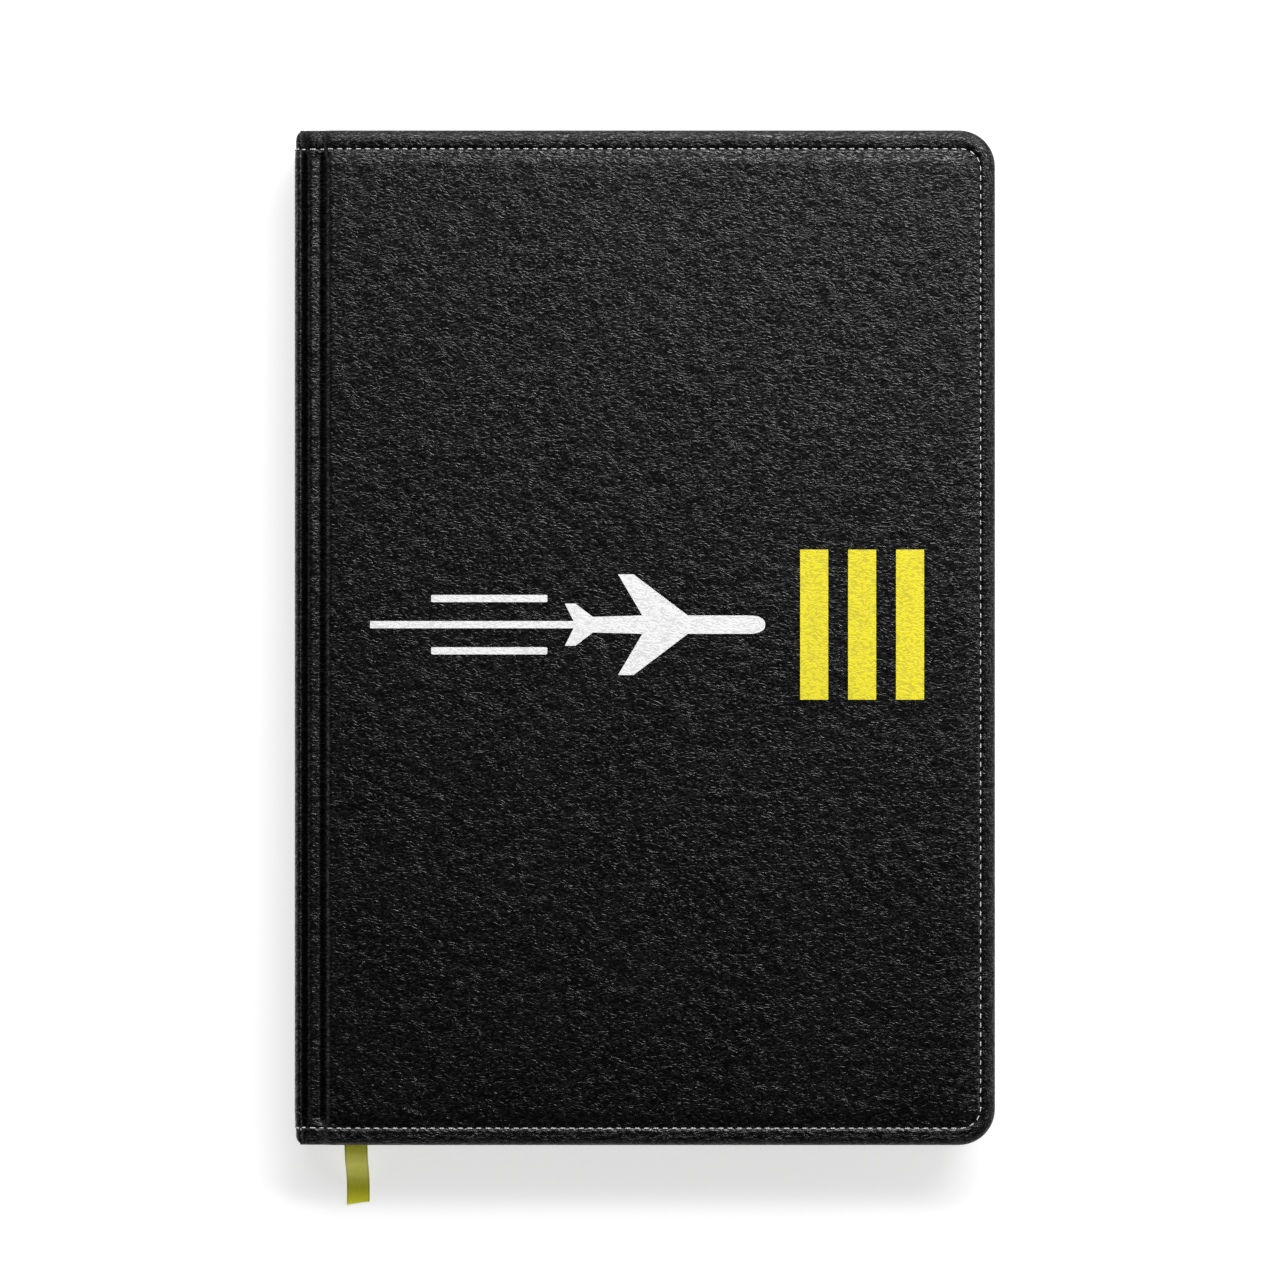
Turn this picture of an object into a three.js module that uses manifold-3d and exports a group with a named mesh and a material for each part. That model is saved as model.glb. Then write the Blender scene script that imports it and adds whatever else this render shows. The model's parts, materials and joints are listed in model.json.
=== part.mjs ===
// Padded A5 pilot logbook: two sewn covers, a hollow spine, six sewn sections and a ribbon marker.
// Millimetres. The book lies closed on its back cover: +Z up, spine towards -X, head towards +Y.
// The origin is the centre of the closed covers' footprint, on the surface the book lies on.

import * as THREE from 'three';
import { mergeVertices } from 'three/addons/utils/BufferGeometryUtils.js';
import Module from 'manifold-3d';

const wasm = await Module();
wasm.setup();

// Overall size of the closed book, spine to fore-edge and head to foot.
const coverWidth = 145;
const coverHeight = 210;
const outerCornerRadius = 7.5;

// Layers of a cover, from the outside in, and the line of glue between two of them.
const skinThickness = 0.8;
const foamThickness = 1;
const boardThickness = 1.4;
const liningThickness = 0.3;
const glueLine = 0.05;
const coverThickness = skinThickness + foamThickness + boardThickness + liningThickness + 3 * glueLine;
const skinWall = 1;
const edgeRoll = 1.2;
const hingeCornerRadius = 1.3;

// Seam round each cover: a channel in the skin with the thread lying in it.
const seamInset = 3.3;
const seamCornerRadius = 4.2;
const threadWidth = 0.5;
const threadHeight = 0.35;
const channelClearance = 0.2;
const channelDepth = 0.5;
const threadSink = 0.1;

// Paper block: six sections of folded leaves between two flyleaves.
const sectionCount = 6;
const sectionThickness = 1.55;
const sectionGap = 0.05;
const ribbonGap = 0.45;
const flyleafThickness = 0.15;
const blockToCover = 0.15;
const squareEdge = 3.2;
const blockToSpineFace = 3.4;

// Spine, joints and hinge lines, measured from the outside of the spine.
const spineRecess = 1;
const spineEndRecess = 0.3;
const spineWall = 0.8;
const spineLip = 1.7;
const spineCorner = 1.4;
const spineBoardThickness = 0.9;
const mullThickness = 0.25;
const spineLinerThickness = 0.2;
const spineHingeDistance = 2.5;
const hingeInsideCover = 0.6;
const lipDepth = 0.9;
const stripStart = 3;
const stripWidth = 2.7;
const stripThickness = 1.1;
const coverStart = 7.4;

// Bands sewn over the two ends of the block's spine.
const bandThickness = 1.3;
const bandDepth = 1.2;
const bandToBlockFace = 0.35;

// Ribbon marker: width, thickness and where it leaves the foot.
const ribbonWidth = 4.8;
const ribbonThickness = 0.3;
const ribbonFromSpine = 13;
const ribbonTail = 12.1;
const ribbonSlant = 0.7;
const ribbonRest = 0.2;

// Plain marks on the front cover.
const foilThickness = 0.1;
const foilLift = 0.02;
const markHeightOnCover = 2.7;
const stripeWidth = 5.8;
const stripeHeight = 31;
const stripePitch = 9.9;
const firstStripeFromSpine = 107.5;
const stripeCount = 3;
const aircraftFromSpine = 75.4;
const aircraftNose = 22;
const wingSpan = 20.8;
const fuselageWidth = 3.8;
const trailLength = 42;
const trailWidth = 1.5;
const sideTrailOffset = 5.4;
const sideTrailLength = 24;

const left = -coverWidth / 2;
const right = coverWidth / 2;
const head = coverHeight / 2;
const foot = -coverHeight / 2;

const leavesBelowRibbon = sectionCount / 2;
const blockThickness = 2 * flyleafThickness + sectionCount * sectionThickness
  + sectionCount * sectionGap + ribbonGap;
const bookThickness = 2 * (coverThickness + blockToCover) + blockThickness;
const blockBottom = coverThickness + blockToCover;
const hingeHeight = coverThickness - hingeInsideCover;
const leafLeft = left + blockToSpineFace;
const leafRight = right - squareEdge;
const leafHead = head - squareEdge;
const leafFoot = foot + squareEdge;

const arcSteps = 8;
const rollSteps = 4;
const overrun = 2;

const leather = { color: 0x141414, roughness: 0.55, metalness: 0 };
const thread = { color: 0xc8c8c8, roughness: 0.8, metalness: 0 };
const foamStuff = { color: 0x6c6c70, roughness: 0.9, metalness: 0 };
const board = { color: 0x8a8070, roughness: 0.9, metalness: 0 };
const endpaper = { color: 0x2b2d33, roughness: 0.8, metalness: 0 };
const paper = { color: 0xf0ece0, roughness: 0.85, metalness: 0 };
const gauze = { color: 0xd8d4c4, roughness: 0.9, metalness: 0 };
const satin = { color: 0xa8a636, roughness: 0.4, metalness: 0 };
const whiteFoil = { color: 0xf2f2f2, roughness: 0.5, metalness: 0 };
const yellowFoil = { color: 0xebe02d, roughness: 0.5, metalness: 0 };

const book = new THREE.Group();

function addPart(name, geometry, finish) {
  const mesh = new THREE.Mesh(geometry, new THREE.MeshStandardMaterial(finish));
  mesh.name = name;
  book.add(mesh);
}

// A closed three.js geometry as a solid that can be cut and joined, and back again.
function toSolid(geometry) {
  const bare = geometry.clone();
  bare.deleteAttribute('normal');
  bare.deleteAttribute('uv');
  const merged = mergeVertices(bare);
  return new wasm.Manifold(new wasm.Mesh({
    numProp: 3,
    vertProperties: new Float32Array(merged.attributes.position.array),
    triVerts: new Uint32Array(merged.index.array),
  }));
}

function toGeometry(solid) {
  const mesh = solid.getMesh();
  const geometry = new THREE.BufferGeometry();
  geometry.setAttribute('position', new THREE.BufferAttribute(mesh.vertProperties, 3));
  geometry.setIndex(new THREE.BufferAttribute(mesh.triVerts, 1));
  geometry.computeVertexNormals();
  return geometry;
}

function cut(geometry, ...tools) {
  const result = tools.reduce((solid, tool) => solid.subtract(toSolid(tool)), toSolid(geometry));
  return toGeometry(result);
}

// A rectangle whose spine-side and fore-edge corners have their own radii.
function cornered(x0, y0, x1, y1, spineRadius, foreRadius) {
  const shape = new THREE.Shape();
  shape.moveTo(x0 + spineRadius, y0);
  shape.lineTo(x1 - foreRadius, y0);
  shape.absarc(x1 - foreRadius, y0 + foreRadius, foreRadius, -Math.PI / 2, 0);
  shape.absarc(x1 - foreRadius, y1 - foreRadius, foreRadius, 0, Math.PI / 2);
  shape.absarc(x0 + spineRadius, y1 - spineRadius, spineRadius, Math.PI / 2, Math.PI);
  shape.absarc(x0 + spineRadius, y0 + spineRadius, spineRadius, Math.PI, 1.5 * Math.PI);
  return shape;
}

// A flat plate of a shape in X and Y, from one height up.
function plate(shape, bottom, thickness) {
  const geometry = new THREE.ExtrudeGeometry(shape, {
    depth: thickness,
    bevelEnabled: false,
    curveSegments: arcSteps,
  });
  return geometry.translate(0, 0, bottom);
}

function block(x0, x1, y0, y1, z0, z1) {
  const geometry = new THREE.BoxGeometry(x1 - x0, y1 - y0, z1 - z0);
  return geometry.translate((x0 + x1) / 2, (y0 + y1) / 2, (z0 + z1) / 2);
}

// A prism along Y whose shape is drawn in X and Z.
function prismAlongY(shape, y0, y1) {
  const geometry = new THREE.ExtrudeGeometry(shape, {
    depth: y1 - y0,
    bevelEnabled: false,
    curveSegments: arcSteps,
  });
  return geometry.rotateX(Math.PI / 2).translate(0, y1, 0);
}

// The seam's line as a band of a given width: along the head, the fore-edge and the foot.
function seamBand(width, spineEnd) {
  const half = width / 2;
  const shape = new THREE.Shape();
  const outer = seamInset - half;
  const inner = seamInset + half;
  const outerRadius = seamCornerRadius + half;
  const innerRadius = seamCornerRadius - half;
  shape.moveTo(spineEnd, foot + outer);
  shape.lineTo(right - outer - outerRadius, foot + outer);
  shape.absarc(right - outer - outerRadius, foot + outer + outerRadius, outerRadius, -Math.PI / 2, 0);
  shape.absarc(right - outer - outerRadius, head - outer - outerRadius, outerRadius, 0, Math.PI / 2);
  shape.lineTo(spineEnd, head - outer);
  shape.lineTo(spineEnd, head - inner);
  shape.absarc(right - inner - innerRadius, head - inner - innerRadius, innerRadius, Math.PI / 2, 0, true);
  shape.absarc(right - inner - innerRadius, foot + inner + innerRadius, innerRadius, 0, -Math.PI / 2, true);
  shape.lineTo(spineEnd, foot + inner);
  return shape;
}

// One cover. Depths are counted from its outer face, so both covers share one list of layers.
function addCover(side, outerFace, inward) {
  const coverLeft = left + coverStart;
  const place = (depth, thickness) => (inward > 0 ? outerFace + depth : outerFace - depth - thickness);
  const inset = (distance, spineRadius, foreRadius) => cornered(
    coverLeft + distance, foot + distance, right - distance, head - distance, spineRadius, foreRadius,
  );
  const outline = inset(0, hingeCornerRadius, outerCornerRadius);
  const rolled = new THREE.ExtrudeGeometry(outline, {
    depth: coverThickness - 2 * edgeRoll,
    bevelThickness: edgeRoll,
    bevelSize: edgeRoll,
    bevelOffset: -edgeRoll,
    bevelSegments: rollSteps,
    curveSegments: arcSteps,
  }).translate(0, 0, place(0, coverThickness) + edgeRoll);
  const innerRadius = outerCornerRadius - skinWall;
  const cavityDepth = coverThickness - skinThickness;
  const cavity = plate(
    inset(skinWall, hingeCornerRadius, innerRadius), place(skinThickness, cavityDepth + overrun), cavityDepth + overrun,
  );
  const channel = plate(
    seamBand(threadWidth + 2 * channelClearance, coverLeft - overrun),
    place(-overrun, channelDepth + overrun), channelDepth + overrun,
  );
  addPart(`${side}_skin`, cut(rolled, cavity, channel), leather);

  const layers = [
    ['foam_pad', foamThickness, foamStuff],
    ['board', boardThickness, board],
    ['lining', liningThickness, endpaper],
  ];
  const layerShape = inset(skinWall + glueLine, hingeCornerRadius, innerRadius - glueLine);
  let depth = skinThickness + glueLine;
  for (const [name, thickness, finish] of layers) {
    addPart(`${side}_${name}`, plate(layerShape, place(depth, thickness), thickness), finish);
    depth += thickness + glueLine;
  }

  const threadEnd = coverLeft + edgeRoll;
  addPart(
    `${side}_thread`,
    plate(seamBand(threadWidth, threadEnd), place(threadSink, threadHeight), threadHeight),
    thread,
  );
}

// The narrow leather hinge between the spine and a cover board.
function addJointStrip(name, axisHeight) {
  const stripLeft = left + stripStart;
  addPart(name, block(
    stripLeft, stripLeft + stripWidth,
    foot + spineEndRecess, head - spineEndRecess,
    axisHeight - stripThickness / 2, axisHeight + stripThickness / 2,
  ), leather);
}

// The spine's rounded outline in X and Z, pulled in evenly by a distance.
function spineOutline(distance) {
  const x0 = left + distance;
  const x1 = left + spineLip;
  const z0 = spineRecess + distance;
  const z1 = bookThickness - spineRecess - distance;
  const radius = spineCorner - distance;
  const shape = new THREE.Shape();
  shape.moveTo(x1, z0);
  shape.lineTo(x1, z1);
  shape.lineTo(x0 + radius, z1);
  shape.absarc(x0 + radius, z1 - radius, radius, Math.PI / 2, Math.PI);
  shape.lineTo(x0, z0 + radius);
  shape.absarc(x0 + radius, z0 + radius, radius, Math.PI, 1.5 * Math.PI);
  return shape;
}

function spineBody(distance, y0, y1) {
  return prismAlongY(spineOutline(distance), y0, y1);
}

function addSpine() {
  const innerBottom = hingeHeight + lipDepth;
  const innerTop = bookThickness - innerBottom;
  const y0 = foot + spineEndRecess;
  const y1 = head - spineEndRecess;
  const hollow = block(left + spineWall, right, y0 - overrun, y1 + overrun, innerBottom, innerTop);
  const seamRows = [['foot', foot + seamInset], ['head', head - seamInset]];
  const channelHalf = threadWidth / 2 + channelClearance;
  let skin = toSolid(spineBody(0, y0, y1)).subtract(toSolid(hollow));
  for (const [, row] of seamRows) {
    const ring = toSolid(spineBody(-overrun / 2, row - channelHalf, row + channelHalf))
      .subtract(toSolid(spineBody(channelDepth, row - channelHalf - overrun, row + channelHalf + overrun)));
    skin = skin.subtract(ring);
  }
  addPart('spine_skin', toGeometry(skin), leather);
  for (const [end, row] of seamRows) {
    const half = threadWidth / 2;
    const outside = spineBody(threadSink, row - half, row + half);
    const inside = spineBody(threadSink + threadHeight, row - half - overrun, row + half + overrun);
    addPart(`spine_thread_${end}`, cut(outside, inside), thread);
  }

  const layers = [
    ['spine_board', spineBoardThickness, board],
    ['spine_mull', mullThickness, gauze],
    ['spine_liner', spineLinerThickness, gauze],
  ];
  let x = left + spineWall + glueLine;
  for (const [name, thickness, finish] of layers) {
    addPart(name, block(
      x, x + thickness, leafFoot, leafHead, innerBottom + glueLine, innerTop - glueLine,
    ), finish);
    x += thickness + glueLine;
  }

  const bandLeft = leafLeft - bandToBlockFace - bandThickness;
  for (const [name, y] of [['head_band', leafHead + glueLine], ['tail_band', leafFoot - glueLine - bandDepth]]) {
    addPart(name, block(
      bandLeft, bandLeft + bandThickness, y, y + bandDepth, innerBottom + glueLine, innerTop - glueLine,
    ), thread);
  }
}

// A section of folded leaves: round at the fold, square at the fore-edge.
function addSection(name, bottom) {
  const radius = sectionThickness / 2;
  const middle = bottom + radius;
  const shape = new THREE.Shape();
  shape.moveTo(leafLeft + radius, middle - radius);
  shape.lineTo(leafRight, middle - radius);
  shape.lineTo(leafRight, middle + radius);
  shape.lineTo(leafLeft + radius, middle + radius);
  shape.absarc(leafLeft + radius, middle, radius, Math.PI / 2, 1.5 * Math.PI);
  addPart(name, prismAlongY(shape, leafFoot, leafHead), paper);
}

function addFlyleaf(name, bottom) {
  addPart(name, block(leafLeft, leafRight, leafFoot, leafHead, bottom, bottom + flyleafThickness), endpaper);
}

function addBlock() {
  let height = blockBottom;
  addFlyleaf('rear_flyleaf', height);
  height += flyleafThickness + sectionGap;
  let ribbonHeight = 0;
  for (let index = 1; index <= sectionCount; index += 1) {
    addSection(`section_${index}`, height);
    height += sectionThickness;
    if (index === leavesBelowRibbon) {
      ribbonHeight = height + ribbonGap / 2;
      height += ribbonGap;
    } else {
      height += sectionGap;
    }
  }
  addFlyleaf('front_flyleaf', height);
  return ribbonHeight;
}

// The ribbon's route from the head of the block down through the middle and out at the foot,
// in Y and Z. Past the foot it droops and its end lies on the surface.
function addRibbon(ribbonHeight) {
  const centre = left + ribbonFromSpine;
  const restHeight = ribbonRest + ribbonThickness / 2;
  const route = new THREE.CatmullRomCurve3([
    new THREE.Vector3(centre, 99, ribbonHeight),
    new THREE.Vector3(centre, 50, ribbonHeight),
    new THREE.Vector3(centre, 0, ribbonHeight),
    new THREE.Vector3(centre, -50, ribbonHeight),
    new THREE.Vector3(centre, -92, ribbonHeight),
    new THREE.Vector3(centre, -101, ribbonHeight),
    new THREE.Vector3(centre, -104.4, ribbonHeight - 0.15),
    new THREE.Vector3(centre, -107.2, ribbonHeight - 1),
    new THREE.Vector3(centre, -109.6, ribbonHeight - 2.9),
    new THREE.Vector3(centre, -111.4, ribbonHeight - 5.3),
    new THREE.Vector3(centre, -113.2, ribbonHeight - 7.3),
    new THREE.Vector3(centre, -115.4, restHeight + 0.15),
    new THREE.Vector3(centre, -118, restHeight),
  ], false, 'centripetal');
  const section = new THREE.Shape();
  section.moveTo(-ribbonThickness / 2, -ribbonWidth / 2);
  section.lineTo(ribbonThickness / 2, -ribbonWidth / 2);
  section.lineTo(ribbonThickness / 2, ribbonWidth / 2);
  section.lineTo(-ribbonThickness / 2, ribbonWidth / 2);
  const band = new THREE.ExtrudeGeometry(section, {
    steps: 60,
    extrudePath: route,
    bevelEnabled: false,
  });
  const slant = new THREE.Shape();
  const cutMiddle = foot - ribbonTail;
  const beyond = cutMiddle - ribbonTail;
  slant.moveTo(centre - ribbonWidth, cutMiddle - ribbonSlant);
  slant.lineTo(centre + ribbonWidth, cutMiddle + ribbonSlant);
  slant.lineTo(centre + ribbonWidth, beyond);
  slant.lineTo(centre - ribbonWidth, beyond);
  addPart('ribbon_marker', cut(band, plate(slant, -overrun, ribbonHeight)), satin);
}

function addMarks() {
  const markBottom = bookThickness + foilLift;
  for (let index = 0; index < stripeCount; index += 1) {
    const x = left + firstStripeFromSpine + index * stripePitch;
    const stripe = cornered(
      x - stripeWidth / 2, markHeightOnCover - stripeHeight / 2,
      x + stripeWidth / 2, markHeightOnCover + stripeHeight / 2, 0.1, 0.1,
    );
    addPart(`foil_stripe_${index + 1}`, plate(stripe, markBottom, foilThickness), yellowFoil);
  }

  const centre = left + aircraftFromSpine;
  const halfBody = fuselageWidth / 2;
  const tip = wingSpan / 2;
  const side = [
    [aircraftNose - 3.5, halfBody], [6, halfBody], [-5.2, tip], [-8.4, tip], [-3.4, halfBody],
    [-13.6, halfBody * 0.85], [-17.2, tip * 0.42], [-19.4, tip * 0.42], [-17.6, trailWidth / 2],
    [-17.6 - trailLength, trailWidth / 2],
  ];
  const aircraft = new THREE.Shape();
  aircraft.moveTo(centre + aircraftNose, markHeightOnCover);
  aircraft.quadraticCurveTo(
    centre + aircraftNose, markHeightOnCover + halfBody, centre + side[0][0], markHeightOnCover + side[0][1],
  );
  for (const [u, v] of side.slice(1)) aircraft.lineTo(centre + u, markHeightOnCover + v);
  for (const [u, v] of side.slice(0).reverse()) aircraft.lineTo(centre + u, markHeightOnCover - v);
  aircraft.quadraticCurveTo(
    centre + aircraftNose, markHeightOnCover - halfBody, centre + aircraftNose, markHeightOnCover,
  );
  addPart('foil_aircraft', plate(aircraft, markBottom, foilThickness), whiteFoil);
  for (const [name, offset] of [['foil_trail_upper', sideTrailOffset], ['foil_trail_lower', -sideTrailOffset]]) {
    const y = markHeightOnCover + offset;
    const trail = cornered(
      centre - 23 - sideTrailLength, y - trailWidth / 2, centre - 23, y + trailWidth / 2, 0.3, 0.3,
    );
    addPart(name, plate(trail, markBottom, foilThickness), whiteFoil);
  }
}

addCover('back', 0, 1);
addCover('front', bookThickness, -1);
addJointStrip('back_joint_strip', hingeHeight);
addJointStrip('front_joint_strip', bookThickness - hingeHeight);
addSpine();
addRibbon(addBlock());
addMarks();

export default book;
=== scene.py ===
import bpy, bmesh, json, math, random
import numpy as np
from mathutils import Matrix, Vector


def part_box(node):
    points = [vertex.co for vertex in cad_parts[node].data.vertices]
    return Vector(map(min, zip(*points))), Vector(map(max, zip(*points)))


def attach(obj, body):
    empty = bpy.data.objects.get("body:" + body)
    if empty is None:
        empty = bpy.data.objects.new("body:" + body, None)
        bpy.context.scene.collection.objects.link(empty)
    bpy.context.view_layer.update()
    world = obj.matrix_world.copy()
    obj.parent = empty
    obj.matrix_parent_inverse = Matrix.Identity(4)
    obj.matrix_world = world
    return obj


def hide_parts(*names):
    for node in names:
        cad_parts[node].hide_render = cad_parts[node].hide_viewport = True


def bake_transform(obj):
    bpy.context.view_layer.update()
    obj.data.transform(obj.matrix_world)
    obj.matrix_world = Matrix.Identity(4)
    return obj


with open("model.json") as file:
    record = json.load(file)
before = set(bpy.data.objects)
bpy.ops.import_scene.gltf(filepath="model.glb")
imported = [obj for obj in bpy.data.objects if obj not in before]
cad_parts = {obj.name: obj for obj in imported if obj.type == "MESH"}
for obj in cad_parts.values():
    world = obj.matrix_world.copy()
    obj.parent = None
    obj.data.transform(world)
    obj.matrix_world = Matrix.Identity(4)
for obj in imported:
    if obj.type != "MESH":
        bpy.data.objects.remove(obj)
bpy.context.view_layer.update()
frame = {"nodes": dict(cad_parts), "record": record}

mm = 0.001
random.seed(11)

coverLow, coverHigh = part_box("front_skin")
leafLow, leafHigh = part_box("section_1")
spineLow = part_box("spine_skin")[0]
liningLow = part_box("front_lining")[0]
book = {
    "left": spineLow[0] / mm,
    "right": coverHigh[0] / mm,
    "foot": coverLow[1] / mm,
    "head": coverHigh[1] / mm,
    "top": coverHigh[2] / mm,          # outer face of the front cover
    "inner": liningLow[2] / mm,        # inner face of the front cover
    "leafLeft": leafLow[0] / mm,
    "leafRight": leafHigh[0] / mm,
    "leafFoot": leafLow[1] / mm,
    "leafHead": leafHigh[1] / mm,
}
middle = book["top"] / 2
sharpEdge = math.radians(50)   # edges that turn more than this stay crisp


def smooth(t):
    t = min(1.0, max(0.0, t))
    return t * t * (3 - 2 * t)


def fade(x, start, reach):
    # 1 up to the start, then smoothly down to 0.
    return 1 - smooth((x - start) / reach)


def newObject(name, bm, shade=True):
    bmesh.ops.recalc_face_normals(bm, faces=bm.faces)
    mesh = bpy.data.meshes.new(name)
    bm.to_mesh(mesh)
    bm.free()
    for polygon in mesh.polygons:
        polygon.use_smooth = shade
    if shade:
        mesh.set_sharp_from_angle(angle=sharpEdge)
    thing = bpy.data.objects.new(name, mesh)
    bpy.context.collection.objects.link(thing)
    return thing


def paint(thing, material):
    thing.data.materials.clear()
    thing.data.materials.append(material)


view = {
    "distance": 0.95,      # camera above the cover, metres
    "frameWidth": 0.26435,  # what the picture takes in at the cover's face
    "shiftX": -0.00097,
    "shiftY": -0.00047,
    "sensor": 36.0,
}


def addCamera():
    lens = bpy.data.cameras.new("camera")
    lens.sensor_width = view["sensor"]
    lens.lens = view["sensor"] * view["distance"] / view["frameWidth"]
    camera = bpy.data.objects.new("camera", lens)
    camera.location = (view["shiftX"], view["shiftY"], book["top"] * mm + view["distance"])
    bpy.context.collection.objects.link(camera)
    bpy.context.scene.camera = camera


addCamera()
print("camera set")


def link(tree, a, b):
    tree.links.new(a, b)


def node(tree, kind, **settings):
    made = tree.nodes.new(kind)
    for key, value in settings.items():
        setattr(made, key, value)
    return made


def maths(tree, operation, a, b=None, c=None):
    made = node(tree, "ShaderNodeMath", operation=operation)
    for index, value in enumerate((a, b, c)):
        if value is None:
            continue
        if isinstance(value, (int, float)):
            made.inputs[index].default_value = value
        else:
            link(tree, value, made.inputs[index])
    return made.outputs[0]


def vectorMaths(tree, operation, a, b=None, scale=None):
    made = node(tree, "ShaderNodeVectorMath", operation=operation)
    for index, value in enumerate((a, b)):
        if value is None:
            continue
        if isinstance(value, tuple):
            made.inputs[index].default_value = value
        else:
            link(tree, value, made.inputs[index])
    if scale is not None:
        made.inputs["Scale"].default_value = scale
    return made.outputs["Vector"]


def noise(tree, vector, scale, detail=2.0, rough=0.5):
    made = node(tree, "ShaderNodeTexNoise")
    link(tree, vector, made.inputs["Vector"])
    made.inputs["Scale"].default_value = scale
    made.inputs["Detail"].default_value = detail
    made.inputs["Roughness"].default_value = rough
    return made.outputs["Fac"]


def remap(tree, value, a, b, c, d):
    made = node(tree, "ShaderNodeMapRange", clamp=True)
    for index, number in enumerate((a, b, c, d)):
        made.inputs[index + 1].default_value = number
    link(tree, value, made.inputs[0])
    return made.outputs[0]


def blendColour(tree, factor, a, b):
    made = node(tree, "ShaderNodeMix", data_type="RGBA")
    link(tree, factor, made.inputs[0])
    for socket, value in ((6, a), (7, b)):
        if isinstance(value, tuple):
            made.inputs[socket].default_value = (*value, 1)
        else:
            link(tree, value, made.inputs[socket])
    return made.outputs[2]


def separate(tree, vector):
    made = node(tree, "ShaderNodeSeparateXYZ")
    link(tree, vector, made.inputs[0])
    return made.outputs


def newGroup(name, inputs, outputs):
    tree = bpy.data.node_groups.new(name, "ShaderNodeTree")
    for label, kind in inputs:
        tree.interface.new_socket(label, in_out="INPUT", socket_type=kind)
    for label, kind in outputs:
        tree.interface.new_socket(label, in_out="OUTPUT", socket_type=kind)
    return tree, tree.nodes.new("NodeGroupInput"), tree.nodes.new("NodeGroupOutput")


def useGroup(tree, group, vector):
    made = node(tree, "ShaderNodeGroup", node_tree=group)
    link(tree, vector, made.inputs["Vector"])
    return made


def startMaterial(name, coordinates="Object"):
    material = bpy.data.materials.new(name)
    material.use_nodes = True
    tree = material.node_tree
    tree.nodes.clear()
    surface = tree.nodes.new("ShaderNodeBsdfPrincipled")
    output = tree.nodes.new("ShaderNodeOutputMaterial")
    link(tree, surface.outputs[0], output.inputs[0])
    source = tree.nodes.new("ShaderNodeTexCoord")
    return material, tree, surface, source.outputs[coordinates]


def addBump(tree, surface, height, distance):
    bump = tree.nodes.new("ShaderNodeBump")
    bump.inputs["Strength"].default_value = 1.0
    bump.inputs["Distance"].default_value = distance
    link(tree, height, bump.inputs["Height"])
    link(tree, bump.outputs[0], surface.inputs["Normal"])
    return bump.outputs[0]


def satinMaterial():
    material, tree, surface, where = startMaterial("satinRibbon", "UV")
    x = separate(tree, where)[0]
    threads = maths(tree, "SINE", maths(tree, "MULTIPLY", x, 2 * math.pi / 0.00022))
    floats = noise(tree, vectorMaths(tree, "MULTIPLY", where, (1, 0.09, 1)), 4200, 2.0, 0.5)
    selvedge = maths(tree, "GREATER_THAN", maths(tree, "ABSOLUTE", x), 0.00205)
    tone = blendColour(tree, floats, (0.66, 0.64, 0.022), (0.86, 0.845, 0.05))
    tone = blendColour(tree, maths(tree, "MULTIPLY", selvedge, 0.4), tone, (0.30, 0.30, 0.012))
    link(tree, tone, surface.inputs["Base Color"])
    link(tree, remap(tree, floats, 0.3, 0.7, 0.30, 0.45), surface.inputs["Roughness"])
    surface.inputs["Sheen Weight"].default_value = 0.25
    surface.inputs["Sheen Roughness"].default_value = 0.35
    height = maths(tree, "MULTIPLY_ADD", threads, 0.5, floats)
    addBump(tree, surface, height, 0.00002)
    return material


satinLook = satinMaterial()
ribbonLow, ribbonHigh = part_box("ribbon_marker")
ribbon = {
    "width": 4.8, "thickness": 0.26, "cup": 0.10, "slant": 0.7, "tailEnd": -118.9, "across": 10,
    "centre": (ribbonLow[0] + ribbonHigh[0]) / 2 / mm - 0.7,
}
ribbonLevel = ribbonHigh[2] / mm - 0.15
restLevel = 0.35
ribbonRoute = [(99, 0), (50, 0), (0, 0), (-50, 0), (-92, 0), (-101, 0), (-104.4, -0.15), (-107.2, -1),
               (-109.6, -2.9), (-111.4, -5.3), (-113.2, -7.3)]
ribbonRoute = [(y, ribbonLevel + z) for y, z in ribbonRoute] + [(-115.4, restLevel + 0.15), (-118, restLevel),
                                                                  (-121, restLevel)]


def splineThrough(points, perStep):
    # Centripetal Catmull-Rom, as the frame's ribbon uses.
    first = tuple(2 * a - b for a, b in zip(points[0], points[1]))
    last = tuple(2 * a - b for a, b in zip(points[-1], points[-2]))
    full = [first, *points, last]
    out = []
    for p0, p1, p2, p3 in zip(full, full[1:], full[2:], full[3:]):
        t = [0.0]
        for a, b in ((p0, p1), (p1, p2), (p2, p3)):
            t.append(t[-1] + max(1e-6, math.dist(a, b) ** 0.5))
        p0, p1, p2, p3 = (np.array(p, float) for p in (p0, p1, p2, p3))
        for s in np.linspace(t[1], t[2], perStep, endpoint=False):
            a1 = (t[1] - s) / (t[1] - t[0]) * p0 + (s - t[0]) / (t[1] - t[0]) * p1
            a2 = (t[2] - s) / (t[2] - t[1]) * p1 + (s - t[1]) / (t[2] - t[1]) * p2
            a3 = (t[3] - s) / (t[3] - t[2]) * p2 + (s - t[2]) / (t[3] - t[2]) * p3
            b1 = (t[2] - s) / (t[2] - t[0]) * a1 + (s - t[0]) / (t[2] - t[0]) * a2
            b2 = (t[3] - s) / (t[3] - t[1]) * a2 + (s - t[1]) / (t[3] - t[1]) * a3
            out.append((t[2] - s) / (t[2] - t[1]) * b1 + (s - t[1]) / (t[2] - t[1]) * b2)
    out.append(np.array(points[-1], float))
    return out


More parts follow.
